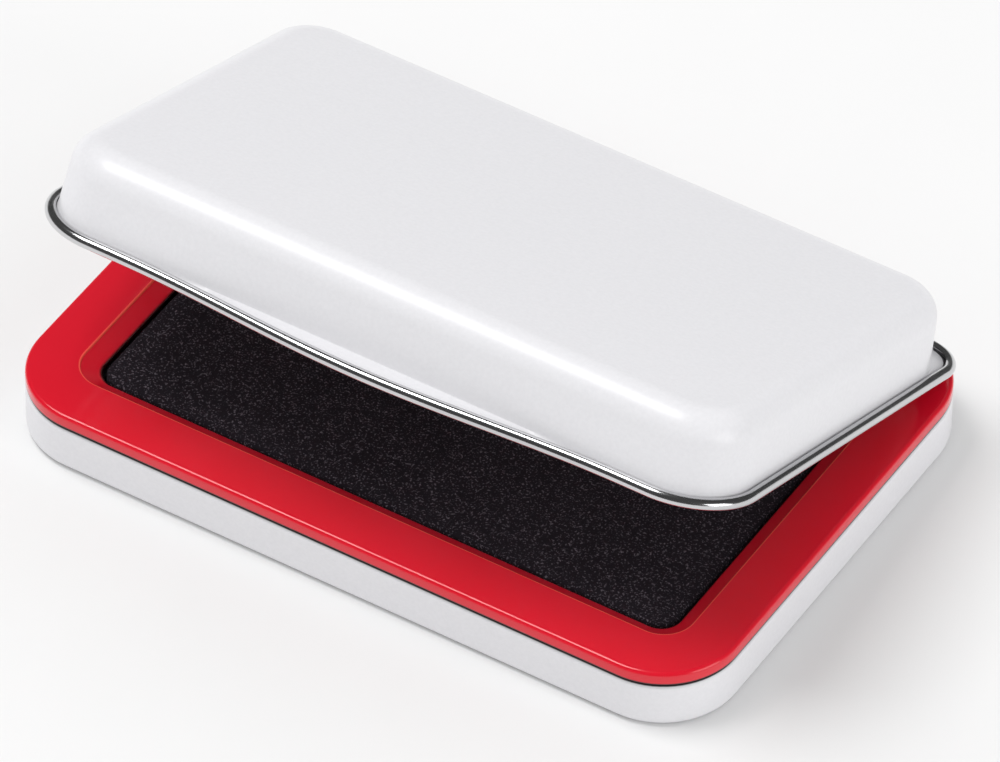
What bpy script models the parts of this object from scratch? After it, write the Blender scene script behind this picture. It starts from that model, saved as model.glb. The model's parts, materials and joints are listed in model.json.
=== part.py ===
"""Pocket ink pad in a hinged tinplate case: pan, frame, tray, felt, cloth, lid, liner and hinge pins.

Origin: centre of the pan's outline, on the surface that the pan rests on. X runs along the length,
the opening side faces -Y and the hinge is at +Y. The lid is modelled shut, in coordinates measured
from the hinge axis, and is then turned about it to its rest angle.
"""

import math
from collections import namedtuple

import bmesh
import bpy
from mathutils import Matrix, Vector

MM = 0.001

# Overall sizes.
BASE_LENGTH = 77.0 * MM
BASE_WIDTH = 53.6 * MM
BASE_CORNER = 8.05 * MM
PAN_HEIGHT = 5.2 * MM
FIT = 0.3 * MM              # gap kept between pieces that touch
SHEET = 0.35 * MM           # tinplate

# Pan.
PAN_EDGE = 0.9 * MM         # outer radius along the bottom edge
PAN_HEM = 1.0 * MM          # rim folded inwards, from the pan's outer face
PANEL_MARGIN = 6.5 * MM     # from the pan's outline to the raised panel in its floor
PANEL_RISE = 0.4 * MM
PANEL_STEP = 0.8 * MM       # width of the step round the panel

# Frame.
FRAME_BAND = 1.35 * MM      # height of the frame's side above the pan
FRAME_TOP = PAN_HEIGHT + FIT + FRAME_BAND
FRAME_WALL = 1.0 * MM
FRAME_SHOULDER = 0.45 * MM  # outer top edge radius
BORDER_ENDS = 5.05 * MM     # frame's top face, from its outline to the opening
BORDER_SIDES = 5.35 * MM
OPENING_LENGTH = BASE_LENGTH - 2 * BORDER_ENDS
OPENING_WIDTH = BASE_WIDTH - 2 * BORDER_SIDES
OPENING_CORNER = 3.15 * MM
OPENING_LIP = 0.2 * MM      # chamfer where the top face turns down
FRAME_BEVEL = 1.35 * MM     # depth of the sloping inner wall
FRAME_LIP = 0.6 * MM        # upright edge below the slope
LIP_WIDTH = 1.15 * MM       # underside of that edge
SKIRT_BOTTOM = 2.2 * MM

# Pad.
SLOPE_ENDS = 1.7 * MM       # width of the sloping wall between the opening and the pad
SLOPE_SIDES = 1.75 * MM
PAD_LENGTH = OPENING_LENGTH - 2 * SLOPE_ENDS
PAD_WIDTH = OPENING_WIDTH - 2 * SLOPE_SIDES
PAD_CORNER = 2.15 * MM
PAD_RECESS = 1.13 * MM      # inked face below the frame's top
PAD_TOP = FRAME_TOP - PAD_RECESS
CLOTH = 0.4 * MM
CLOTH_EDGE = 0.5 * MM
TRAY_WALL = 0.6 * MM

# Lid, shut: its bead is a round outward curl of the sheet. Heights are from the bead's centre.
LID_SEAT_GAP = 0.12 * MM    # bead to frame top
BEAD_RADIUS = 0.6 * MM
BEAD_END_INSET = 0.81 * MM  # from the pan's outline to the bead's centre
BEAD_FRONT_INSET = 1.56 * MM
BEAD_REAR_INSET = 2.41 * MM
BEAD_FRONT_CORNER = 7.16 * MM
BEAD_BACK_CORNER = 4.11 * MM
THUMB_BOW = 2.0 * MM        # the front bead bows out to a thumb lip
THUMB_BOW_HALF = 27.7 * MM
LID_WALL_BACK = 1.5 * MM    # extra flange between the rear wall and the rear bead
LID_DRAFT = 0.35 * MM       # the side walls lean in by this much
LID_FRONT_CORNER = 6.5 * MM  # plan radii of the wall at its foot
LID_BACK_CORNER = 5.6 * MM
LID_EDGE = 2.97 * MM        # outer radius between wall and roof
LID_WALL_TOP = 5.2 * MM     # where that radius starts
FLANGE_RISE = 0.75 * MM     # where the wall ends and turns out to the flange
FLANGE_TURN = ((0.04 * MM, 0.5 * MM), (0.1 * MM, 0.32 * MM))  # outset and height of each bend in that turn
FLANGE_EDGE_INSET = 0.7 * MM  # where the flange meets the bead, from the bead's centre
FLANGE_EDGE_DROP = 0.08 * MM
CURL_START = math.radians(225)  # the bead's curl, from +Y
CURL_END = math.radians(495)
LINER = 0.5 * MM
LID_REST_ANGLE = math.radians(20.69)

# Hinge.
PIN_RADIUS = 0.5 * MM
PIN_PLAY = 0.15 * MM
HINGE_RISE = 1.55 * MM      # hinge axis above the frame's top
HINGE_SPACING = 40.0 * MM   # between the two hinges' middles
LID_KNUCKLE = 4.0 * MM
PAN_KNUCKLE = 3.0 * MM
KNUCKLE_GAP = 0.3 * MM
NOTCH_SIDE_PLAY = 0.5 * MM
TONGUE_THINNER = 0.02 * MM  # a tongue is a hair thinner than its wall, so that no two faces coincide
PAN_TONGUE_ROOT = 1.5 * MM  # how far a tongue reaches down inside the pan's wall
PAN_CURL_END = math.radians(285)
LID_TONGUE_START = 0.4 * MM  # above the bead's centre
LID_CURL_START = math.radians(-95)
LID_CURL_END = math.radians(180)
PIN_SIDES = 20
PIN_END_BEVEL = 0.12 * MM

CORNER_STEPS = 6
EDGE_STEPS = 4
HEM_STEPS = 2
SHOULDER_STEPS = 3
THUMB_STEPS = 12
BEAD_STEPS = 7
KNUCKLE_STEP = math.radians(18)
SMOOTH_ANGLE = math.radians(35)

CURL_MIDDLE = PIN_RADIUS + PIN_PLAY + SHEET / 2
CURL_OUTSIDE = PIN_RADIUS + PIN_PLAY + SHEET
HINGE_Y = BASE_WIDTH / 2 - CURL_OUTSIDE
HINGE_HEIGHT = FRAME_TOP + HINGE_RISE
BEAD_HALF = BASE_LENGTH / 2 - BEAD_END_INSET
BEAD_FRONT = -(BASE_WIDTH / 2 - BEAD_FRONT_INSET)
BEAD_REAR = BASE_WIDTH / 2 - BEAD_REAR_INSET
BEAD_HEIGHT = FRAME_TOP + LID_SEAT_GAP + BEAD_RADIUS
PAN_FLOOR_TOP = SHEET + PANEL_RISE
TRAY_BOTTOM = PAN_FLOOR_TOP + FIT
PAD_BOTTOM = TRAY_BOTTOM + TRAY_WALL + FIT
LIP_BOTTOM = FRAME_TOP - FRAME_BEVEL - FRAME_LIP
SKIRT_OUTSIDE = PAN_HEM + FIT                 # inset from the pan's outline
SKIRT_INSIDE = SKIRT_OUTSIDE + FRAME_WALL

# Rounded rectangle: half length in X, front and rear edges in Y, corner radii, height, thumb bow.
Outline = namedtuple("Outline", "half front rear front_corner rear_corner z bow", defaults=(0.0,))


def block_outline(length, width, corner, z, inset=0.0):
    """Outline of a centred rounded rectangle, drawn in by inset."""
    half, depth, radius = length / 2 - inset, width / 2 - inset, max(corner - inset, 0.2 * MM)
    return Outline(half, -depth, depth, radius, radius, z)


def outline_points(outline, thumb_steps):
    """Points anticlockwise from above. The front side has thumb_steps extra points for its bow."""
    points = []
    corners = (
        (1, outline.rear, -1, outline.rear_corner, 0),
        (-1, outline.rear, -1, outline.rear_corner, 90),
        (-1, outline.front, 1, outline.front_corner, 180),
        (1, outline.front, 1, outline.front_corner, 270),
    )
    for side, edge, inward, radius, start in corners:
        x, y = side * (outline.half - radius), edge + inward * radius
        if start == 270:
            left, right = -x, x
            for step in range(1, thumb_steps):
                along = left + (right - left) * step / thumb_steps
                reach = min(abs(along) / THUMB_BOW_HALF, 1.0)
                bow = outline.bow * (1 + math.cos(math.pi * reach)) / 2
                points.append(Vector((along, outline.front - bow, outline.z)))
        for step in range(CORNER_STEPS + 1):
            angle = math.radians(start + 90 * step / CORNER_STEPS)
            points.append(Vector((x + radius * math.cos(angle), y + radius * math.sin(angle), outline.z)))
    return points


def loft(name, outlines, thumb_steps=0, first_capped=False, section_closed=False):
    """Surface through the outlines in turn, with the first one filled, or the last joined to the first."""
    mesh = bmesh.new()
    rings = [[mesh.verts.new(point) for point in outline_points(each, thumb_steps)] for each in outlines]
    pairs = list(zip(rings, rings[1:]))
    if section_closed:
        pairs.append((rings[-1], rings[0]))
    for ring, following in pairs:
        for index in range(len(ring)):
            after = (index + 1) % len(ring)
            mesh.faces.new((ring[index], ring[after], following[after], following[index]))
    if first_capped:
        mesh.faces.new(rings[0])
    bmesh.ops.recalc_face_normals(mesh, faces=mesh.faces)
    return mesh_object(name, mesh)


def mesh_object(name, mesh, offset=(0, 0, 0)):
    """Object in the parts collection from a bmesh, with its mesh moved by offset."""
    bmesh.ops.translate(mesh, vec=offset, verts=mesh.verts)
    data = bpy.data.meshes.new(name)
    mesh.to_mesh(data)
    mesh.free()
    obj = bpy.data.objects.new(name, data)
    parts.objects.link(obj)
    return obj


def thicken(obj, thickness):
    """Sheet of this thickness, half on each side of the surface."""
    solid = obj.modifiers.new("Sheet", "SOLIDIFY")
    solid.thickness = thickness
    solid.offset = 0
    solid.use_even_offset = True


def strip(name, path, middle, width, thickness):
    """Bent strip: a path of (y, z) points drawn out along X, then given its thickness."""
    mesh = bmesh.new()
    left = [mesh.verts.new((middle - width / 2, y, z)) for y, z in path]
    edges = [mesh.edges.new(pair) for pair in zip(left, left[1:])]
    drawn = bmesh.ops.extrude_edge_only(mesh, edges=edges)["geom"]
    right = [each for each in drawn if isinstance(each, bmesh.types.BMVert)]
    bmesh.ops.translate(mesh, vec=(width, 0, 0), verts=right)
    obj = mesh_object(name, mesh)
    thicken(obj, thickness)
    return obj


def box(name, low, high):
    """Box between two corners."""
    mesh = bmesh.new()
    size = Vector(high) - Vector(low)
    bmesh.ops.create_cube(mesh, size=1, matrix=Matrix.Diagonal((*size, 1)))
    return mesh_object(name, mesh, (Vector(low) + Vector(high)) / 2)


def make_tool(obj):
    """Helper for a Boolean, never rendered."""
    obj.hide_render = True
    obj.display_type = "WIRE"
    parts.objects.unlink(obj)
    cutters.objects.link(obj)


def combine(obj, tool, operation):
    make_tool(tool)
    boolean = obj.modifiers.new(tool.name, "BOOLEAN")
    boolean.operation = operation
    boolean.object = tool


def arc(start, end):
    """Points of a knuckle's curl round the hinge axis, on the middle of the sheet. Angles from +Y."""
    steps = max(2, round(abs(end - start) / KNUCKLE_STEP))
    for step in range(steps + 1):
        angle = start + (end - start) * step / steps
        yield (HINGE_Y + CURL_MIDDLE * math.cos(angle), HINGE_HEIGHT + CURL_MIDDLE * math.sin(angle))


def hinge_middles():
    return (("left", -HINGE_SPACING / 2), ("right", HINGE_SPACING / 2))


def pan_tongues(middle):
    """Middles in X of one hinge's two pan knuckles."""
    reach = (LID_KNUCKLE + PAN_KNUCKLE) / 2 + KNUCKLE_GAP
    return (middle - reach, middle + reach)


def finish(obj, colour, roughness, metallic=0.0, smooth=True):
    """The piece's own material, and smooth shading across its small steps."""
    material = bpy.data.materials.new(obj.name)
    material.use_nodes = True
    shader = material.node_tree.nodes["Principled BSDF"]
    shader.inputs["Base Color"].default_value = (*colour, 1)
    shader.inputs["Roughness"].default_value = roughness
    shader.inputs["Metallic"].default_value = metallic
    obj.data.materials.append(material)
    if smooth:
        obj.data.shade_smooth()
        obj.data.set_sharp_from_angle(angle=SMOOTH_ANGLE)


def make_pan():
    """Pressed tinplate pan: raised floor panel, rounded bottom edge, rim folded in, hinge tongues."""
    mid = SHEET / 2

    def ring(inset, z):
        return block_outline(BASE_LENGTH, BASE_WIDTH, BASE_CORNER, z, inset)

    outlines = [
        ring(PANEL_MARGIN + PANEL_STEP, PANEL_RISE + mid),
        ring(PANEL_MARGIN, mid),
    ]
    edge = PAN_EDGE - mid
    for step in range(EDGE_STEPS + 1):
        angle = math.pi / 2 * step / EDGE_STEPS
        outlines.append(ring(PAN_EDGE - edge * math.sin(angle), PAN_EDGE - edge * math.cos(angle)))
    for step in range(HEM_STEPS + 1):
        angle = math.pi / 2 * step / HEM_STEPS
        inset = mid + SHEET * (1 - math.cos(angle))
        outlines.append(ring(inset, PAN_HEIGHT - mid - SHEET * (1 - math.sin(angle))))
    outlines.append(ring(PAN_HEM, PAN_HEIGHT - mid))
    pan = loft("base_pan", outlines, first_capped=True)
    thicken(pan, SHEET)
    wall_y = BASE_WIDTH / 2 - mid
    path = [(wall_y, PAN_HEIGHT - PAN_TONGUE_ROOT), (wall_y, (PAN_HEIGHT + HINGE_HEIGHT) / 2)]
    path += list(arc(0, PAN_CURL_END))
    for side, middle in hinge_middles():
        for number, x in enumerate(pan_tongues(middle), 1):
            name = f"pan_tongue_{side}_{number}"
            tongue = strip(name, path, x, PAN_KNUCKLE, SHEET - TONGUE_THINNER)
            combine(pan, tongue, "UNION")
    finish(pan, (0.80, 0.80, 0.81), 0.35, 0.0)


def make_frame():
    """Moulded frame: one closed section carried round the case, notched behind for the pan's tongues."""

    def ring(inset, z):
        return block_outline(BASE_LENGTH, BASE_WIDTH, BASE_CORNER, z, inset)

    def opening(outset, z):
        return block_outline(OPENING_LENGTH, OPENING_WIDTH, OPENING_CORNER, z, -outset)

    def lip(outset, z):
        return block_outline(PAD_LENGTH, PAD_WIDTH, PAD_CORNER, z, -outset)

    ledge = PAN_HEIGHT + FIT
    shoulder = []
    for step in range(SHOULDER_STEPS + 1):
        angle = math.pi / 2 * step / SHOULDER_STEPS
        inset = FRAME_SHOULDER * (1 - math.cos(angle))
        shoulder.append(ring(inset, FRAME_TOP - FRAME_SHOULDER * (1 - math.sin(angle))))
    under = FRAME_TOP - FRAME_WALL
    outlines = [
        ring(0, ledge),
        *shoulder,
        opening(OPENING_LIP, FRAME_TOP),
        opening(0, FRAME_TOP - OPENING_LIP),
        lip(0, FRAME_TOP - FRAME_BEVEL),
        lip(0, LIP_BOTTOM),
        lip(LIP_WIDTH, LIP_BOTTOM),
        opening(FRAME_WALL, under),
        ring(SKIRT_INSIDE, under),
        ring(SKIRT_INSIDE, SKIRT_BOTTOM),
        ring(SKIRT_OUTSIDE, SKIRT_BOTTOM),
        ring(SKIRT_OUTSIDE, ledge),
    ]
    frame = loft("pad_frame", outlines, section_closed=True)
    behind = BASE_WIDTH / 2
    for side, middle in hinge_middles():
        for number, x in enumerate(pan_tongues(middle), 1):
            half = PAN_KNUCKLE / 2 + FIT
            low = (x - half, behind - SHEET - FIT, PAN_HEIGHT - FIT)
            high = (x + half, behind + FIT, FRAME_TOP + FIT)
            combine(frame, box(f"tongue_notch_{side}_{number}", low, high), "DIFFERENCE")
    finish(frame, (0.68, 0.006, 0.018), 0.28)


def make_tray():
    """Moulded tray round the pad, with a flange that the frame holds down."""
    mid = TRAY_WALL / 2
    floor, flange = TRAY_BOTTOM + mid, LIP_BOTTOM - FIT - mid
    bend = TRAY_WALL

    def ring(outset, z):
        return block_outline(PAD_LENGTH, PAD_WIDTH, PAD_CORNER, z, -outset)

    outer_outline = block_outline(BASE_LENGTH, BASE_WIDTH, BASE_CORNER, flange, SKIRT_INSIDE + FIT)
    outlines = [
        ring(mid - bend, floor),
        ring(mid, floor + bend),
        ring(mid, flange - mid),
        ring(mid + mid, flange),
        outer_outline,
    ]
    tray = loft("pad_tray", outlines, first_capped=True)
    thicken(tray, TRAY_WALL)
    finish(tray, (0.05, 0.05, 0.055), 0.5)


def make_pad():
    """Felt block that holds the ink, and the woven cloth drawn over it."""
    mid = CLOTH / 2
    outline = [block_outline(PAD_LENGTH, PAD_WIDTH, PAD_CORNER, z, FIT + CLOTH + FIT)
               for z in (PAD_TOP - CLOTH - FIT, PAD_BOTTOM)]
    felt = loft("felt_core", outline, first_capped=True)
    fill_bottom(felt)
    finish(felt, (0.02, 0.018, 0.03), 0.95)

    edge = CLOTH_EDGE - mid
    outlines = []
    for step in range(EDGE_STEPS + 1):
        angle = math.pi / 2 * step / EDGE_STEPS
        inset = FIT + CLOTH_EDGE - edge * math.sin(angle)
        outlines.append(block_outline(PAD_LENGTH, PAD_WIDTH, PAD_CORNER,
                                      PAD_TOP - CLOTH_EDGE + edge * math.cos(angle), inset))
    outlines.append(block_outline(PAD_LENGTH, PAD_WIDTH, PAD_CORNER, PAD_BOTTOM, FIT + mid))
    cloth = loft("ink_cloth", outlines, first_capped=True)
    thicken(cloth, CLOTH)
    finish(cloth, (0.012, 0.010, 0.016), 0.9)


def fill_bottom(obj):
    """Closes the open lower end of a lofted block."""
    mesh = bmesh.new()
    mesh.from_mesh(obj.data)
    bmesh.ops.holes_fill(mesh, edges=[edge for edge in mesh.edges if edge.is_boundary])
    bmesh.ops.recalc_face_normals(mesh, faces=mesh.faces)
    mesh.to_mesh(obj.data)
    mesh.free()


def lid_outline(inset, z):
    """Outline of the lid's wall or roof, drawn in from the wall's foot, at a height from the bead."""
    return Outline(
        BEAD_HALF - BEAD_RADIUS - inset,
        BEAD_FRONT + BEAD_RADIUS + inset,
        BEAD_REAR - BEAD_RADIUS - LID_WALL_BACK - inset,
        LID_FRONT_CORNER - inset,
        LID_BACK_CORNER - inset,
        BEAD_HEIGHT + z,
    )


def bead_outline(outset, z):
    """Outline along the bead, outset from its centre, at a height from it."""
    return Outline(
        BEAD_HALF + outset,
        BEAD_FRONT - outset,
        BEAD_REAR + outset,
        BEAD_FRONT_CORNER + outset,
        BEAD_BACK_CORNER + outset,
        BEAD_HEIGHT + z,
        THUMB_BOW,
    )


def roof_and_wall(depth):
    """Outlines from the roof's edge down to the wall's foot, on a surface this deep inside the lid."""
    outlines = []
    for step in range(EDGE_STEPS + 1):
        angle = math.pi / 2 * (1 - step / EDGE_STEPS)
        radius = LID_EDGE - depth
        inset = LID_DRAFT + LID_EDGE - radius * math.cos(angle)
        outlines.append(lid_outline(inset, LID_WALL_TOP + radius * math.sin(angle)))
    return outlines


def on_hinge(obj):
    """Moves a shut lid piece's mesh so that its origin is on the hinge axis, and hangs it there."""
    obj.data.transform(Matrix.Translation((0, -HINGE_Y, -HINGE_HEIGHT)))
    obj.parent = hinge_axis


def make_lid():
    """Pressed tinplate lid: roof, wall, narrow flange and an outward curl, with one tongue a hinge."""
    mid = SHEET / 2
    outlines = roof_and_wall(mid)
    outlines.append(lid_outline(mid, FLANGE_RISE))
    outlines += [lid_outline(mid - outset, z) for outset, z in FLANGE_TURN]
    outlines.append(bead_outline(-FLANGE_EDGE_INSET, -FLANGE_EDGE_DROP))
    curl = BEAD_RADIUS - mid
    for step in range(BEAD_STEPS + 1):
        angle = CURL_START + (CURL_END - CURL_START) * step / BEAD_STEPS
        outlines.append(bead_outline(curl * math.cos(angle), curl * math.sin(angle)))
    lid = loft("lid_shell", outlines, thumb_steps=THUMB_STEPS, first_capped=True)
    on_hinge(lid)
    thicken(lid, SHEET)

    wall_back = BEAD_REAR - BEAD_RADIUS - LID_WALL_BACK
    station = LID_KNUCKLE / 2 + KNUCKLE_GAP + PAN_KNUCKLE + NOTCH_SIDE_PLAY
    path = [(wall_back - mid, BEAD_HEIGHT + LID_TONGUE_START)]
    path += list(arc(LID_CURL_START, LID_CURL_END))
    for side, middle in hinge_middles():
        low = (middle - station, wall_back + mid, BEAD_HEIGHT - 2 * BEAD_RADIUS)
        high = (middle + station, BASE_WIDTH, BEAD_HEIGHT + 2 * BEAD_RADIUS)
        notch = box(f"lid_notch_{side}", low, high)
        tongue = strip(f"lid_tongue_{side}", path, middle, LID_KNUCKLE, SHEET - TONGUE_THINNER)
        for tool, operation in ((notch, "DIFFERENCE"), (tongue, "UNION")):
            on_hinge(tool)
            combine(lid, tool, operation)
    finish(lid, (0.80, 0.80, 0.81), 0.32)


def make_liner():
    """Moulded inner lid, whose edge meets the frame round the pad and keeps the ink from drying."""
    depth = SHEET + FIT + LINER / 2
    outlines = roof_and_wall(depth)
    outlines.append(lid_outline(depth, -BEAD_RADIUS))
    liner = loft("lid_liner", outlines, first_capped=True)
    on_hinge(liner)
    thicken(liner, LINER)
    finish(liner, (0.75, 0.75, 0.72), 0.45)


def make_pins():
    """Wire pin of each hinge, held by its outer knuckles."""
    length = LID_KNUCKLE + 2 * (PAN_KNUCKLE + KNUCKLE_GAP) - FIT
    for side, middle in hinge_middles():
        mesh = bmesh.new()
        bmesh.ops.create_cone(mesh, cap_ends=True, segments=PIN_SIDES, radius1=PIN_RADIUS, radius2=PIN_RADIUS,
                              depth=length, matrix=Matrix.Rotation(math.pi / 2, 4, "Y"))
        pin = mesh_object(f"hinge_pin_{side}", mesh)
        pin.location = (middle, HINGE_Y, HINGE_HEIGHT)
        ends = pin.modifiers.new("Ends", "BEVEL")
        ends.width = PIN_END_BEVEL
        ends.segments = 1
        ends.angle_limit = math.radians(60)
        finish(pin, (0.62, 0.62, 0.63), 0.3, 1.0)


for old in list(bpy.data.objects):
    bpy.data.objects.remove(old)
parts = bpy.data.collections.new("ink_pad")
cutters = bpy.data.collections.new("cutters")
for collection in (parts, cutters):
    bpy.context.scene.collection.children.link(collection)
cutters.hide_render = True
hinge_axis = bpy.data.objects.new("lid_hinge_axis", None)
hinge_axis.location = (0, HINGE_Y, HINGE_HEIGHT)
hinge_axis.rotation_euler = (-LID_REST_ANGLE, 0, 0)
parts.objects.link(hinge_axis)
make_pan()
make_frame()
make_tray()
make_pad()
make_lid()
make_liner()
make_pins()
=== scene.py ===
import json
import math

import bmesh
import bpy
from mathutils import Matrix, Vector


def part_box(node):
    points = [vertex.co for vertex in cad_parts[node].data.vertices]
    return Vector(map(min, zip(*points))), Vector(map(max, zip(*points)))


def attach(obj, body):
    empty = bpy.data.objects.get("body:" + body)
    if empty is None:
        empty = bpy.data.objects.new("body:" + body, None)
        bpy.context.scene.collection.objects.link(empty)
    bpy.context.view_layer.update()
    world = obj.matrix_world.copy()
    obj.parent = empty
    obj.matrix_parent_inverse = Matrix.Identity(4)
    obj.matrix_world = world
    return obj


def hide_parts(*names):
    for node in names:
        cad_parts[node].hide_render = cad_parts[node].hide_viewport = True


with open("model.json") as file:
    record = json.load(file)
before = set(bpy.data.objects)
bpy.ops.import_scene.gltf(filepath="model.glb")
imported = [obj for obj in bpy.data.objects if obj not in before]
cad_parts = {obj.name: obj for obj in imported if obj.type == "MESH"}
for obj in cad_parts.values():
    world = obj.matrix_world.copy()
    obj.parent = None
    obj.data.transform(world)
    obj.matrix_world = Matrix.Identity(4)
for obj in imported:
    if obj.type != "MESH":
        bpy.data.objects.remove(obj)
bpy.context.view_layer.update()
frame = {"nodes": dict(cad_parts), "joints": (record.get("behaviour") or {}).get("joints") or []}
mm = 0.001
print("stage: frame loaded")

# Places come from the CAD's own boxes and joint.
frameHigh = Vector(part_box("pad_frame")[1])
clothLow, clothHigh = (Vector(corner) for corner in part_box("ink_cloth"))
hinge = Vector(frame["joints"][0]["pos_m"])
restAngle = math.radians(-frame["joints"][0]["range_deg"][0])
halfLength, halfWidth = frameHigh.x, frameHigh.y

# The view that matches the picture, solved once from it.
camera = dict(azimuth=31.163, elevation=43.938, roll=0.948, distance=1.10764, lens=421.13,
              sensor=36.0, right=1.070 * mm, up=3.986 * mm, clip=(0.05, 20))


def makeCamera():
    az, el, roll = (math.radians(camera[key]) for key in ("azimuth", "elevation", "roll"))
    back = Vector((math.sin(az) * math.cos(el), -math.cos(az) * math.cos(el), math.sin(el)))
    right = Vector((math.cos(az), math.sin(az), 0))
    up = back.cross(right)
    turnedRight = right * math.cos(roll) + up * math.sin(roll)
    turnedUp = up * math.cos(roll) - right * math.sin(roll)
    data = bpy.data.cameras.new("camera")
    data.lens = camera["lens"]
    data.sensor_width = camera["sensor"]
    data.clip_start, data.clip_end = camera["clip"]
    obj = bpy.data.objects.new("camera", data)
    spot = back * camera["distance"] + turnedRight * camera["right"] + turnedUp * camera["up"]
    turn = Matrix((turnedRight, turnedUp, back)).transposed().to_4x4()
    obj.matrix_world = Matrix.Translation(spot) @ turn
    bpy.context.scene.collection.objects.link(obj)
    bpy.context.scene.camera = obj


makeCamera()
print("stage: camera")


# Adds a node; each input takes a value or another node's output.
def newNode(tree, kind, inputs=(), **settings):
    node = tree.nodes.new(kind)
    for name, value in settings.items():
        setattr(node, name, value)
    for key, value in dict(inputs).items():
        if isinstance(value, bpy.types.NodeSocket):
            tree.links.new(value, node.inputs[key])
        else:
            node.inputs[key].default_value = value
    return node


grain = dict(broadScale=60.0, broadDetail=2.0, fineDetail=3.0, roughSpread=(0.9, 1.1))


# Fine uneven grain: a height for bump and a broad mask, from Object coordinates.
def grainGroup():
    tree = bpy.data.node_groups.new("fineGrain", "ShaderNodeTree")
    tree.interface.new_socket("Scale", in_out="INPUT", socket_type="NodeSocketFloat")
    for name in ("Height", "Mask"):
        tree.interface.new_socket(name, in_out="OUTPUT", socket_type="NodeSocketFloat")
    entry, leave = newNode(tree, "NodeGroupInput"), newNode(tree, "NodeGroupOutput")
    coords = newNode(tree, "ShaderNodeTexCoord").outputs["Object"]
    fine = newNode(tree, "ShaderNodeTexNoise", {"Vector": coords, "Scale": entry.outputs["Scale"],
                                                "Detail": grain["fineDetail"]})
    broad = newNode(tree, "ShaderNodeTexNoise", {"Vector": coords, "Scale": grain["broadScale"],
                                                 "Detail": grain["broadDetail"]})
    tree.links.new(fine.outputs["Fac"], leave.inputs["Height"])
    tree.links.new(broad.outputs["Fac"], leave.inputs["Mask"])
    return tree


fineGrain = grainGroup()


# Colour runs from low to high over the grain. The optional band paints shade into the colour: dark between two
# heights, fading over a span.
def shaded(name, low, high, grainScale, bump, roughness, metallic=0.0, coat=0.0, coatRoughness=0.03, specular=0.5,
           paintedShadeBand=None, fineColour=False):
    material = bpy.data.materials.new(name)
    material.use_nodes = True
    tree = material.node_tree
    shader = tree.nodes["Principled BSDF"]
    group = newNode(tree, "ShaderNodeGroup", node_tree=fineGrain)
    group.inputs["Scale"].default_value = grainScale
    factor = group.outputs["Height" if fineColour else "Mask"]
    mix = newNode(tree, "ShaderNodeMix", {"Factor": factor}, data_type="RGBA")
    mix.inputs[6].default_value, mix.inputs[7].default_value = (*low, 1), (*high, 1)
    colour = mix.outputs[2]
    if paintedShadeBand:
        # Painted shade: the colour is darkened towards black between the band's two heights.
        bottom, top, span, dark = paintedShadeBand
        coords = newNode(tree, "ShaderNodeTexCoord").outputs["Object"]
        height = newNode(tree, "ShaderNodeSeparateXYZ", {"Vector": coords}).outputs["Z"]
        below = newNode(tree, "ShaderNodeMapRange", {"Value": height, "From Min": bottom - span, "From Max": bottom,
                                                     "To Min": 1.0, "To Max": dark})
        above = newNode(tree, "ShaderNodeMapRange", {"Value": height, "From Min": top, "From Max": top + span,
                                                     "To Min": dark, "To Max": 1.0})
        lit = newNode(tree, "ShaderNodeMath", {0: below.outputs["Result"], 1: above.outputs["Result"]},
                      operation="MAXIMUM")
        dim = newNode(tree, "ShaderNodeMix", {"Factor": lit.outputs["Value"]}, data_type="RGBA")
        dim.inputs[6].default_value = (0, 0, 0, 1)
        tree.links.new(colour, dim.inputs[7])
        colour = dim.outputs[2]
    tree.links.new(colour, shader.inputs["Base Color"])
    smoother, rougher = grain["roughSpread"]
    rough = newNode(tree, "ShaderNodeMapRange", {"Value": group.outputs["Mask"], "To Min": roughness * smoother,
                                                 "To Max": roughness * rougher})
    tree.links.new(rough.outputs["Result"], shader.inputs["Roughness"])
    bumped = newNode(tree, "ShaderNodeBump", {"Height": group.outputs["Height"], "Strength": bump[0],
                                              "Distance": bump[1] * mm})
    tree.links.new(bumped.outputs["Normal"], shader.inputs["Normal"])
    shader.inputs["Metallic"].default_value = metallic
    shader.inputs["Coat Weight"].default_value = coat
    shader.inputs["Coat Roughness"].default_value = coatRoughness
    shader.inputs["Specular IOR Level"].default_value = specular
    return material


enamelLook = dict(low=(0.738, 0.734, 0.758), high=(0.815, 0.810, 0.834), grainScale=2600, bump=(0.12, 0.02),
                  roughness=0.34, coat=0.15, coatRoughness=0.24, fineColour=True)
enamel = shaded("whiteEnamel", **enamelLook)
# Painted shade: the pan's hem top is painted near black where it lies in the deep gap under the red frame.
panEnamel = shaded("panEnamel", **enamelLook, paintedShadeBand=(5.10 * mm, 5.60 * mm, 0.06 * mm, 0.02))
bareTin = shaded("bareTin", (0.55, 0.55, 0.56), (0.70, 0.70, 0.71), 900, (0.05, 0.01), 0.17, metallic=1.0)
redLook = dict(grainScale=1400, bump=(0.04, 0.02), roughness=0.24, coat=0.8, coatRoughness=0.13, specular=0.2)
# Painted shade: the frame's side is painted dark from just above its ledge down into the gap over the pan.
redPlastic = shaded("redPlastic", (0.68, 0.003, 0.016), (0.76, 0.006, 0.026), **redLook,
                    paintedShadeBand=(2 * mm, 5.55 * mm, 0.14 * mm, 0.04))
redPaintedHighlight = shaded("redPaintedHighlight", (0.90, 0.07, 0.05), (0.95, 0.10, 0.07), **redLook)  # painted highlight along the opening's lip
blackPlastic = shaded("blackPlastic", (0.030, 0.030, 0.033), (0.045, 0.045, 0.048), 1200, (0.1, 0.03), 0.5)
linerPlastic = shaded("linerPlastic", (0.72, 0.72, 0.69), (0.77, 0.77, 0.74), 900, (0.08, 0.02), 0.42)
wire = shaded("drawnWire", (0.55, 0.55, 0.56), (0.66, 0.66, 0.67), 1500, (0.08, 0.01), 0.28, metallic=1.0)
feltInk = shaded("inkedFelt", (0.012, 0.010, 0.018), (0.022, 0.018, 0.030), 3000, (0.8, 0.1), 0.95)


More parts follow.
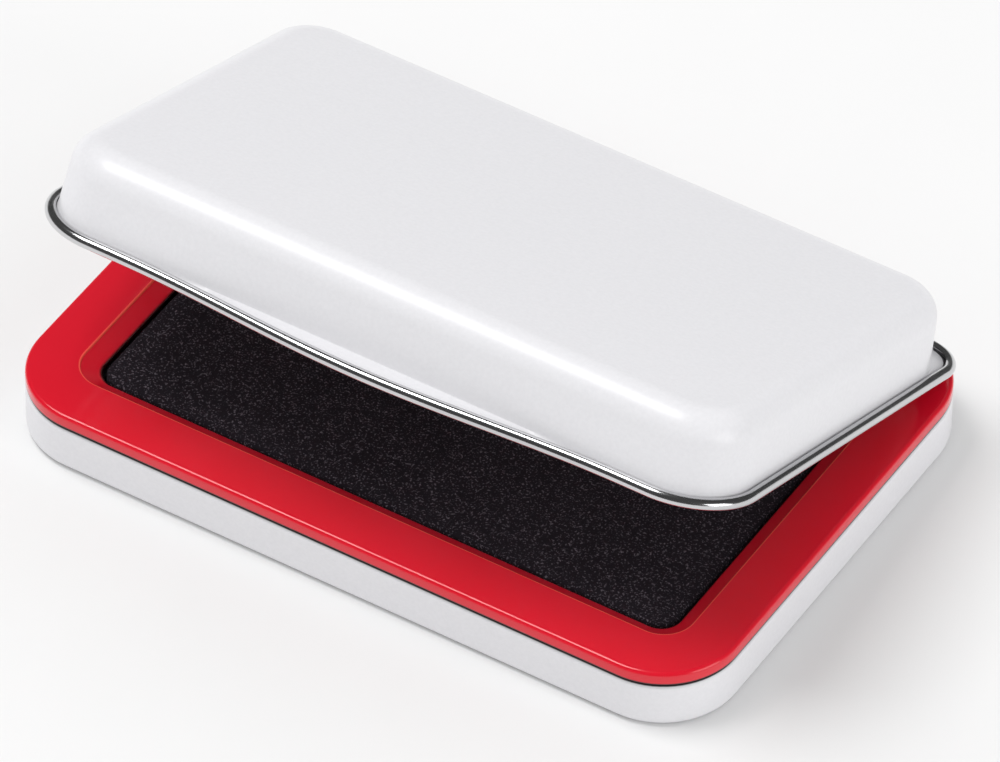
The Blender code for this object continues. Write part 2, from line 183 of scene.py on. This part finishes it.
clothLook = dict(threads=620.0, wander=0.8, threadDetail=1.0, weave=0.5, weaveDepth=0.06 * mm, fleckScale=5200.0,
                 fleckDetail=1.0, fleckFrom=0.56, fleckTo=0.82, fleck=(0.190, 0.165, 0.195), dampScale=90.0,
                 dampDetail=2.0, dark=(0.0100, 0.0072, 0.0115), pale=(0.0185, 0.0145, 0.0205), roughness=0.9,
                 specular=0.2)


# Woven cloth soaked with ink: crossed threads in bump, and sparse pale flecks where fibres catch light.
def makeClothMaterial():
    material = bpy.data.materials.new("inkedCloth")
    material.use_nodes = True
    tree = material.node_tree
    shader = tree.nodes["Principled BSDF"]
    coords = newNode(tree, "ShaderNodeTexCoord").outputs["Object"]
    threads = [newNode(tree, "ShaderNodeTexWave", {"Vector": coords, "Scale": clothLook["threads"],
                                                   "Distortion": clothLook["wander"],
                                                   "Detail": clothLook["threadDetail"]},
                       bands_direction=way).outputs["Fac"] for way in ("X", "Y")]
    weave = newNode(tree, "ShaderNodeMath", {0: threads[0], 1: threads[1]}, operation="MULTIPLY")
    fibres = newNode(tree, "ShaderNodeTexNoise", {"Vector": coords, "Scale": clothLook["fleckScale"],
                                                  "Detail": clothLook["fleckDetail"]})
    fleck = newNode(tree, "ShaderNodeMapRange", {"Value": fibres.outputs["Fac"], "From Min": clothLook["fleckFrom"],
                                                 "From Max": clothLook["fleckTo"]})
    damp = newNode(tree, "ShaderNodeTexNoise", {"Vector": coords, "Scale": clothLook["dampScale"],
                                                "Detail": clothLook["dampDetail"]})
    ink = newNode(tree, "ShaderNodeMix", {"Factor": damp.outputs["Fac"]}, data_type="RGBA")
    ink.inputs[6].default_value = (*clothLook["dark"], 1)
    ink.inputs[7].default_value = (*clothLook["pale"], 1)
    mixed = newNode(tree, "ShaderNodeMix", {"Factor": fleck.outputs["Result"]}, data_type="RGBA")
    tree.links.new(ink.outputs[2], mixed.inputs[6])
    mixed.inputs[7].default_value = (*clothLook["fleck"], 1)
    tree.links.new(mixed.outputs[2], shader.inputs["Base Color"])
    bumped = newNode(tree, "ShaderNodeBump", {"Height": weave.outputs["Value"], "Strength": clothLook["weave"],
                                              "Distance": clothLook["weaveDepth"]})
    tree.links.new(bumped.outputs["Normal"], shader.inputs["Normal"])
    shader.inputs["Roughness"].default_value = clothLook["roughness"]
    shader.inputs["Specular IOR Level"].default_value = clothLook["specular"]
    return material


clothInk = makeClothMaterial()
print("stage: materials")

steps = dict(corner=18, thumb=64, edge=10, bead=20, hem=6, shoulder=8, lip=6, knuckle=24)
thumb = dict(bow=2.0 * mm, half=27.7 * mm)
leastCorner = 0.2 * mm


# Rounded rectangle anticlockwise from above, its front side bowed outward by a raised cosine.
def ringPoints(half, front, rear, frontCorner, rearCorner, z, bow=0.0, thumbSteps=0):
    points = []
    corners = ((1, rear, -1, rearCorner, 0), (-1, rear, -1, rearCorner, 90),
               (-1, front, 1, frontCorner, 180), (1, front, 1, frontCorner, 270))
    for side, edge, inward, radius, start in corners:
        x, y = side * (half - radius), edge + inward * radius
        if start == 270:
            for step in range(1, thumbSteps):
                along = -x + 2 * x * step / thumbSteps
                reach = min(abs(along) / thumb["half"], 1.0)
                points.append(Vector((along, front - bow * (1 + math.cos(math.pi * reach)) / 2, z)))
        for step in range(steps["corner"] + 1):
            angle = math.radians(start + 90 * step / steps["corner"])
            points.append(Vector((x + radius * math.cos(angle), y + radius * math.sin(angle), z)))
    return points


def block(length, width, corner, z, inset=0.0):
    half, depth, radius = length / 2 - inset, width / 2 - inset, max(corner - inset, leastCorner)
    return ringPoints(half, -depth, depth, radius, radius, z)


def newObject(name, mesh):
    data = bpy.data.meshes.new(name)
    mesh.to_mesh(data)
    mesh.free()
    obj = bpy.data.objects.new(name, data)
    bpy.context.scene.collection.objects.link(obj)
    return obj


# Surface through rings of points. Faces from ring otherFrom up to otherTo get the second material.
def loft(name, rings, capFirst=False, joined=False, otherFrom=None, otherTo=None):
    mesh = bmesh.new()
    made = [[mesh.verts.new(point) for point in ring] for ring in rings]
    pairs = list(zip(made, made[1:])) + ([(made[-1], made[0])] if joined else [])
    for number, (a, b) in enumerate(pairs):
        for i in range(len(a)):
            j = (i + 1) % len(a)
            face = mesh.faces.new((a[i], a[j], b[j], b[i]))
            face.material_index = int(otherFrom is not None and otherFrom <= number < (otherTo or len(pairs)))
    cap = mesh.faces.new(made[0]) if capFirst else None
    bmesh.ops.recalc_face_normals(mesh, faces=mesh.faces)
    # An open surface has no inside of its own: its cap faces up, so that sheet grows the right way.
    if cap and cap.normal.z < 0:
        bmesh.ops.reverse_faces(mesh, faces=mesh.faces)
    return newObject(name, mesh)


# The object's evaluated mesh in place of its own, with no modifier left.
def applied(obj):
    evaluated = obj.evaluated_get(bpy.context.evaluated_depsgraph_get())
    data = bpy.data.meshes.new_from_object(evaluated)
    obj.modifiers.clear()
    obj.data = data
    return obj


def thicken(obj, thickness, offset=0.0, innerMaterial=0):
    solid = obj.modifiers.new("sheet", "SOLIDIFY")
    solid.thickness, solid.offset = thickness, offset
    solid.use_even_offset = True
    solid.material_offset = solid.material_offset_rim = innerMaterial
    return applied(obj)


def combine(obj, tool, operation):
    cut = obj.modifiers.new("cut", "BOOLEAN")
    cut.object, cut.operation, cut.material_mode = tool, operation, "TRANSFER"
    applied(obj)
    bpy.data.objects.remove(tool)
    return obj


def box(name, low, high, material):
    mesh = bmesh.new()
    size = Vector(high) - Vector(low)
    middle = Matrix.Translation((Vector(low) + Vector(high)) / 2)
    bmesh.ops.create_cube(mesh, size=1, matrix=middle @ Matrix.Diagonal((*size, 1)))
    obj = newObject(name, mesh)
    obj.data.materials.append(material)
    return obj


def smooth(obj, degrees=32):
    obj.data.shade_smooth()
    obj.data.set_sharp_from_angle(angle=math.radians(degrees))


def place(obj, body, node):
    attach(obj, body)
    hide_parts(node)


# Repeats a shape along X, centred, at a set spacing.
def makeRowGroup():
    tree = bpy.data.node_groups.new("rowAlongX", "GeometryNodeTree")
    face = tree.interface
    face.new_socket("Geometry", in_out="OUTPUT", socket_type="NodeSocketGeometry")
    for name, kind in (("Geometry", "NodeSocketGeometry"), ("Count", "NodeSocketInt"),
                       ("Spacing", "NodeSocketFloat"), ("Material", "NodeSocketMaterial")):
        face.new_socket(name, in_out="INPUT", socket_type=kind)
    entry, leave = newNode(tree, "NodeGroupInput"), newNode(tree, "NodeGroupOutput")
    gaps = newNode(tree, "ShaderNodeMath", {0: entry.outputs["Count"], 1: 1.0}, operation="SUBTRACT")
    span = newNode(tree, "ShaderNodeMath", {0: gaps.outputs[0], 1: entry.outputs["Spacing"]}, operation="MULTIPLY")
    start = newNode(tree, "ShaderNodeMath", {0: span.outputs[0], 1: -0.5}, operation="MULTIPLY")
    first = newNode(tree, "ShaderNodeCombineXYZ", {"X": start.outputs[0]})
    offset = newNode(tree, "ShaderNodeCombineXYZ", {"X": entry.outputs["Spacing"]})
    line = newNode(tree, "GeometryNodeMeshLine", {"Count": entry.outputs["Count"], "Start Location": first.outputs[0],
                                                  "Offset": offset.outputs[0]})
    copies = newNode(tree, "GeometryNodeInstanceOnPoints", {"Points": line.outputs["Mesh"],
                                                           "Instance": entry.outputs["Geometry"]})
    real = newNode(tree, "GeometryNodeRealizeInstances", {"Geometry": copies.outputs["Instances"]})
    done = newNode(tree, "GeometryNodeSetMaterial", {"Geometry": real.outputs["Geometry"],
                                                    "Material": entry.outputs["Material"]})
    tree.links.new(done.outputs["Geometry"], leave.inputs["Geometry"])
    return tree


rowAlongX = makeRowGroup()


def inRow(obj, count, spacing, material):
    row = obj.modifiers.new("row", "NODES")
    row.node_group = rowAlongX
    values = {"Count": count, "Spacing": spacing, "Material": material}
    for item in rowAlongX.interface.items_tree:
        if item.in_out == "INPUT" and item.name in values:
            row[item.identifier] = values[item.name]
    return applied(obj)


hingeSizes = dict(pin=0.5 * mm, play=0.15 * mm, sheet=0.35 * mm, thinner=0.02 * mm, spacing=40 * mm,
                  lidKnuckle=4 * mm, panKnuckle=3 * mm, gap=0.3 * mm, sidePlay=0.5 * mm, fit=0.3 * mm)
knuckleMiddle = hingeSizes["pin"] + hingeSizes["play"] + hingeSizes["sheet"] / 2
panPair = hingeSizes["lidKnuckle"] + hingeSizes["panKnuckle"] + 2 * hingeSizes["gap"]


def knuckleArc(start, end):
    for step in range(steps["knuckle"] + 1):
        angle = math.radians(start + (end - start) * step / steps["knuckle"])
        yield hinge.y + knuckleMiddle * math.cos(angle), hinge.z + knuckleMiddle * math.sin(angle)


# Bent tongue centred on X, from a path of (y, z).
def tongue(name, path, width):
    mesh = bmesh.new()
    left, right = ([mesh.verts.new((side * width / 2, y, z)) for y, z in path] for side in (-1, 1))
    for i in range(len(path) - 1):
        mesh.faces.new((left[i], right[i], right[i + 1], left[i + 1]))
    bmesh.ops.recalc_face_normals(mesh, faces=mesh.faces)
    return thicken(newObject(name, mesh), hingeSizes["sheet"] - hingeSizes["thinner"])


pan = dict(corner=8.05 * mm, height=5.2 * mm, edge=0.9 * mm, hem=1.0 * mm, margin=6.5 * mm, rise=0.4 * mm,
           step=0.8 * mm, sheet=0.35 * mm, root=1.5 * mm, curlEnd=285)


def makePan():
    mid = pan["sheet"] / 2

    def outline(inset, z):
        return block(2 * halfLength, 2 * halfWidth, pan["corner"], z, inset)

    rings = [outline(pan["margin"] + pan["step"], pan["rise"] + mid), outline(pan["margin"], mid)]
    edge = pan["edge"] - mid
    for number in range(steps["edge"] + 1):
        angle = math.pi / 2 * number / steps["edge"]
        rings.append(outline(pan["edge"] - edge * math.sin(angle), pan["edge"] - edge * math.cos(angle)))
    for number in range(steps["hem"] + 1):
        angle = math.pi / 2 * number / steps["hem"]
        rings.append(outline(mid + pan["sheet"] * (1 - math.cos(angle)),
                             pan["height"] - mid - pan["sheet"] * (1 - math.sin(angle))))
    rings.append(outline(pan["hem"], pan["height"] - mid))
    obj = loft("pressed_pan", rings, capFirst=True)
    obj.data.materials.append(panEnamel)
    thicken(obj, pan["sheet"])
    wall = halfWidth - mid
    path = [(wall, pan["height"] - pan["root"]), (wall, (pan["height"] + hinge.z) / 2)]
    knuckles = tongue("pan_knuckles", path + list(knuckleArc(0, pan["curlEnd"])), hingeSizes["panKnuckle"])
    inRow(knuckles, 2, panPair, enamel)
    inRow(knuckles, 2, hingeSizes["spacing"], enamel)
    combine(obj, knuckles, "UNION")
    smooth(obj)
    place(obj, "base", "base_pan")


makePan()
print("stage: pan")

ring = dict(wall=1.0 * mm, shoulder=0.45 * mm, borderEnds=5.05 * mm, borderSides=5.35 * mm, openingCorner=3.15 * mm,
            lip=0.2 * mm, slopeEnds=1.7 * mm, slopeSides=1.75 * mm, padCorner=2.15 * mm, bevel=1.35 * mm,
            upright=0.6 * mm, lipWidth=1.15 * mm, skirtBottom=2.2 * mm)
opening = (2 * (halfLength - ring["borderEnds"]), 2 * (halfWidth - ring["borderSides"]))
padFace = (opening[0] - 2 * ring["slopeEnds"], opening[1] - 2 * ring["slopeSides"])


def makeFrame():
    top, ledge = frameHigh.z, pan["height"] + hingeSizes["fit"]
    skirt = pan["hem"] + hingeSizes["fit"]

    def outer(inset, z):
        return block(2 * halfLength, 2 * halfWidth, pan["corner"], z, inset)

    def hole(outset, z):
        return block(*opening, ring["openingCorner"], z, -outset)

    def lip(outset, z):
        return block(*padFace, ring["padCorner"], z, -outset)

    rings = [outer(0, ledge)]
    for number in range(steps["shoulder"] + 1):
        angle = math.pi / 2 * number / steps["shoulder"]
        rings.append(outer(ring["shoulder"] * (1 - math.cos(angle)), top - ring["shoulder"] * (1 - math.sin(angle))))
    lipStart = len(rings)
    for number in range(steps["lip"] + 1):
        angle = math.pi / 2 * number / steps["lip"]
        rings.append(hole(ring["lip"] * (1 - math.sin(angle)), top - ring["lip"] * (1 - math.cos(angle))))
    lipEnd = len(rings) - 1
    under, low = top - ring["wall"], top - ring["bevel"] - ring["upright"]
    rings += [lip(0, top - ring["bevel"]), lip(0, low), lip(ring["lipWidth"], low), hole(ring["wall"], under),
              outer(skirt + ring["wall"], under), outer(skirt + ring["wall"], ring["skirtBottom"]),
              outer(skirt, ring["skirtBottom"]), outer(skirt, ledge)]
    # The lip rings take the second material: a painted highlight along the opening's edge.
    obj = loft("red_frame", rings, joined=True, otherFrom=lipStart, otherTo=lipEnd)
    for material in (redPlastic, redPaintedHighlight):
        obj.data.materials.append(material)
    half, fit, sheet = hingeSizes["panKnuckle"] / 2 + hingeSizes["fit"], hingeSizes["fit"], pan["sheet"]
    notch = box("tongue_notches", (-half, halfWidth - sheet - fit, pan["height"] - fit),
                (half, halfWidth + fit, top + fit), redPlastic)
    inRow(notch, 2, panPair, redPlastic)
    inRow(notch, 2, hingeSizes["spacing"], redPlastic)
    combine(obj, notch, "DIFFERENCE")
    smooth(obj)
    place(obj, "base", "pad_frame")


makeFrame()
print("stage: frame")

lid = dict(seat=0.12 * mm, bead=0.6 * mm, ends=0.81 * mm, front=1.56 * mm, rear=2.41 * mm, frontCorner=7.16 * mm,
           rearCorner=4.11 * mm, wallBack=1.5 * mm, draft=0.35 * mm, wallFront=6.5 * mm, wallRear=5.6 * mm,
           edge=2.97 * mm, wallTop=5.2 * mm, rise=0.75 * mm, flange=((0.04 * mm, 0.5 * mm), (0.1 * mm, 0.32 * mm)),
           edgeInset=0.7 * mm, edgeDrop=0.08 * mm, curl=(225, 495), sheet=0.35 * mm, liner=0.5 * mm,
           tongueStart=0.4 * mm, tongueCurl=(-95, 180))
beadHeight = frameHigh.z + lid["seat"] + lid["bead"]
wallRearY = halfWidth - lid["rear"] - lid["bead"] - lid["wallBack"]


def wallRing(inset, z, thumbSteps):
    return ringPoints(halfLength - lid["ends"] - lid["bead"] - inset,
                      -(halfWidth - lid["front"]) + lid["bead"] + inset, wallRearY - inset,
                      lid["wallFront"] - inset, lid["wallRear"] - inset, beadHeight + z, 0.0, thumbSteps)


def beadRing(outset, z, thumbSteps):
    return ringPoints(halfLength - lid["ends"] + outset, -(halfWidth - lid["front"]) - outset,
                      halfWidth - lid["rear"] + outset, lid["frontCorner"] + outset, lid["rearCorner"] + outset,
                      beadHeight + z, thumb["bow"], thumbSteps)


def roofAndWall(depth, thumbSteps):
    rings = []
    for number in range(steps["edge"] + 1):
        angle = math.pi / 2 * (1 - number / steps["edge"])
        radius = lid["edge"] - depth
        rings.append(wallRing(lid["draft"] + lid["edge"] - radius * math.cos(angle),
                              lid["wallTop"] + radius * math.sin(angle), thumbSteps))
    return rings


def tiltToRest(obj):
    about = Matrix.Translation(hinge) @ Matrix.Rotation(-restAngle, 4, "X") @ Matrix.Translation(-hinge)
    obj.data.transform(about)


def makeLid():
    mid, count = lid["sheet"] / 2, steps["thumb"]
    rings = roofAndWall(mid, count)
    rings.append(wallRing(mid, lid["rise"], count))
    rings += [wallRing(mid - outset, z, count) for outset, z in lid["flange"]]
    rings.append(beadRing(-lid["edgeInset"], -lid["edgeDrop"], count))
    bareFrom = len(rings) - 1
    radius, (start, end) = lid["bead"] - mid, lid["curl"]
    for number in range(steps["bead"] + 1):
        angle = math.radians(start + (end - start) * number / steps["bead"])
        rings.append(beadRing(radius * math.cos(angle), radius * math.sin(angle), count))
    obj = loft("pressed_lid", rings, capFirst=True, otherFrom=bareFrom)
    for material in (enamel, bareTin):
        obj.data.materials.append(material)
    thicken(obj, lid["sheet"], innerMaterial=1)
    reach = hingeSizes["lidKnuckle"] / 2 + hingeSizes["gap"] + hingeSizes["panKnuckle"] + hingeSizes["sidePlay"]
    notch = box("lid_notches", (-reach, wallRearY + mid, beadHeight - 2 * lid["bead"]),
                (reach, halfWidth, beadHeight + 2 * lid["bead"]), bareTin)
    inRow(notch, 2, hingeSizes["spacing"], bareTin)
    combine(obj, notch, "DIFFERENCE")
    path = [(wallRearY - mid, beadHeight + lid["tongueStart"])] + list(knuckleArc(*lid["tongueCurl"]))
    knuckles = tongue("lid_knuckles", path, hingeSizes["lidKnuckle"])
    inRow(knuckles, 2, hingeSizes["spacing"], bareTin)
    combine(obj, knuckles, "UNION")
    tiltToRest(obj)
    smooth(obj)
    place(obj, "lid", "lid_shell")


def makeLiner():
    depth = lid["sheet"] + hingeSizes["fit"] + lid["liner"] / 2
    obj = loft("inner_lid", roofAndWall(depth, 0) + [wallRing(depth, -lid["bead"], 0)], capFirst=True)
    obj.data.materials.append(linerPlastic)
    thicken(obj, lid["liner"])
    tiltToRest(obj)
    smooth(obj)
    place(obj, "lid", "lid_liner")


makeLid()
makeLiner()
print("stage: lid")

cloth = dict(crown=0.10 * mm, reach=9 * mm, edge=0.5 * mm, corner=2.15 * mm, leastCorner=0.25 * mm, inner=11,
             spread=1.6 * mm, swell=0.6, thick=0.4 * mm, smooth=60)


# The inked face: crowned towards its middle, with a soft edge turned down its sides.
def makeCloth():
    half, middle = (clothHigh - clothLow) / 2, (clothHigh + clothLow) / 2
    crown, edge = cloth["crown"], cloth["edge"]
    rows = []
    for number in range(cloth["inner"], 0, -1):
        inset = edge + number * cloth["spread"]
        rows.append((inset, clothHigh.z - crown * (1 - min((inset - edge) / cloth["reach"], 1.0) ** cloth["swell"])))
    for number in range(steps["edge"] + 1):
        angle = math.pi / 2 * number / steps["edge"]
        rows.append((edge * (1 - math.sin(angle)), clothHigh.z - crown - edge * (1 - math.cos(angle))))
    rows.append((0.0, clothLow.z))
    rings = []
    for inset, z in rows:
        corner = max(cloth["corner"] - inset, cloth["leastCorner"])
        rings.append(ringPoints(half.x - inset, middle.y - half.y + inset, middle.y + half.y - inset,
                                corner, corner, z))
    obj = loft("inked_face", rings, capFirst=True)
    obj.data.materials.append(clothInk)
    thicken(obj, cloth["thick"], offset=-1)
    smooth(obj, cloth["smooth"])
    place(obj, "base", "ink_cloth")


makeCloth()
for node, material in (("pad_tray", blackPlastic), ("felt_core", feltInk), ("hinge_pin_left", wire),
                       ("hinge_pin_right", wire)):
    held = frame["nodes"][node].data.materials
    held.clear()
    held.append(material)
print("stage: cloth and inner pieces")

studio = dict(key=(-0.37, -0.11, 0.92), keySize=0.45, keyEnergy=4.7, side=(0.85, -0.10, 0.22), sideSize=0.5,
              sideEnergy=2.0, aim=(0, 0, 0.01), ambient=0.70, glossAmbient=0.07, floorSize=3.0,
              floorGap=0.02 * mm)


def areaLight(name, spot, size, energy):
    data = bpy.data.lights.new(name, "AREA")
    data.size, data.energy = size, energy
    obj = bpy.data.objects.new(name, data)
    obj.location = spot
    obj.rotation_mode = "QUATERNION"
    obj.rotation_quaternion = (Vector(studio["aim"]) - Vector(spot)).to_track_quat("-Z", "Y")
    bpy.context.scene.collection.objects.link(obj)


def makeStudio():
    mesh = bmesh.new()
    bmesh.ops.create_grid(mesh, x_segments=1, y_segments=1, size=studio["floorSize"])
    floor = newObject("floor", mesh)
    floor.location.z = -studio["floorGap"]
    floor.data.materials.append(shaded("paleFloor", (0.830, 0.830, 0.830), (0.845, 0.845, 0.845), 300, (0.01, 0.01),
                                       0.95, specular=0.1))
    areaLight("key", studio["key"], studio["keySize"], studio["keyEnergy"])
    areaLight("side", studio["side"], studio["sideSize"], studio["sideEnergy"])
    world = bpy.data.worlds.new("studio")
    world.use_nodes = True
    tree = world.node_tree
    glossy = newNode(tree, "ShaderNodeLightPath").outputs["Is Glossy Ray"]
    strength = newNode(tree, "ShaderNodeMapRange", {"Value": glossy, "To Min": studio["ambient"],
                                                    "To Max": studio["glossAmbient"]})
    background = tree.nodes["Background"]
    background.inputs["Color"].default_value = (1, 1, 1, 1)
    tree.links.new(strength.outputs["Result"], background.inputs["Strength"])
    bpy.context.scene.world = world
    bpy.context.scene.view_settings.view_transform = "Standard"


makeStudio()
print("stage: floor and light")
